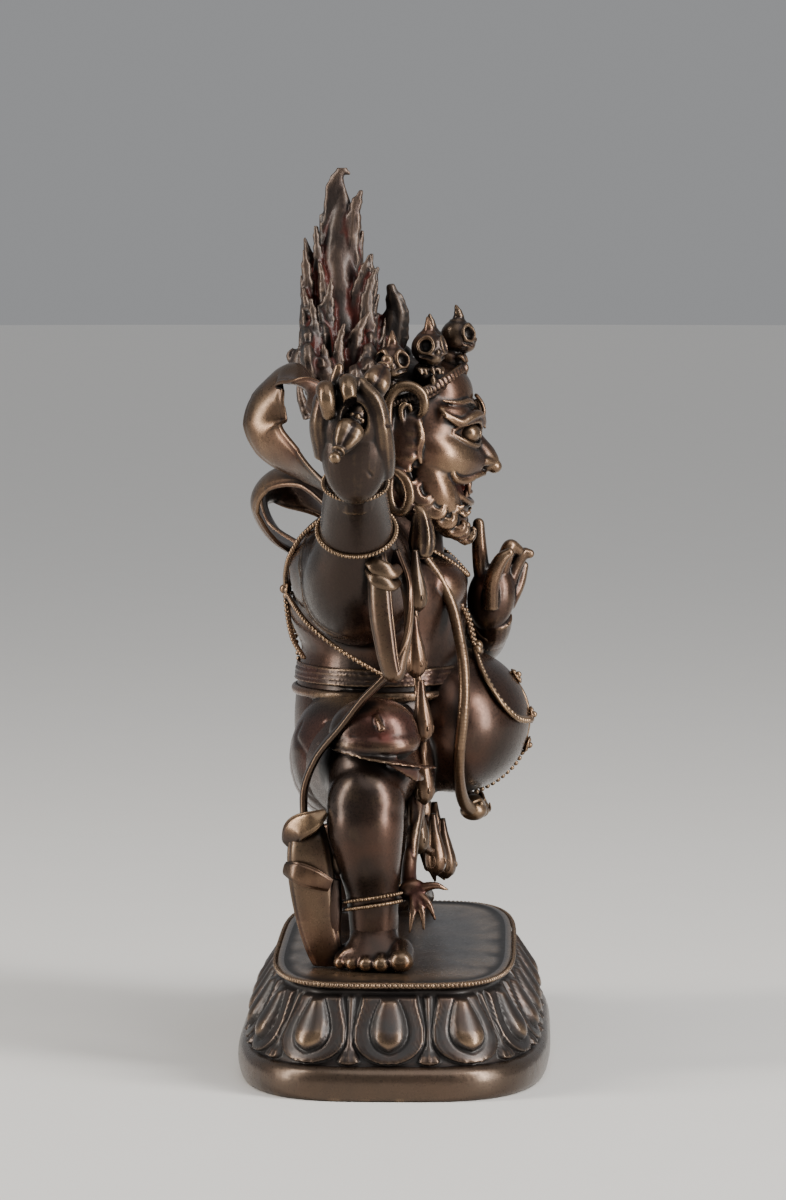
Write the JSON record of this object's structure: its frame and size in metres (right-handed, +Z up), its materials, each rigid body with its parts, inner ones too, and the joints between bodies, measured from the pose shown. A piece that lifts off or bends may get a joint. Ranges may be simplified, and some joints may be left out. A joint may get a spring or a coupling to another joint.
{
  "type": "vajrapani statue",
  "caption": "Small bronze of a wrathful, pot-bellied guardian with a flame of hair, one arm raised with a vajra, striding on an oblong lotus plinth.",
  "frame": {"origin": "middle of the plinth's underside, on the surface that it stands on", "axes": "+Z up; the figure faces -Y, its right side is at -X; X runs along the plinth"},
  "size_m": [0.143, 0.07, 0.1999],
  "materials": {
    "plinth_bronze": "dark brown patinated bronze, satin, rubbed to a warm brass on the raised petals",
    "figure_bronze": "dark brown patinated bronze, satin, rubbed to brass on the edges, with traces of red pigment"
  },
  "bodies": {
    "root": {"lotus_base": "plinth_bronze", "figure": "figure_bronze"}
  },
  "joints": []
}
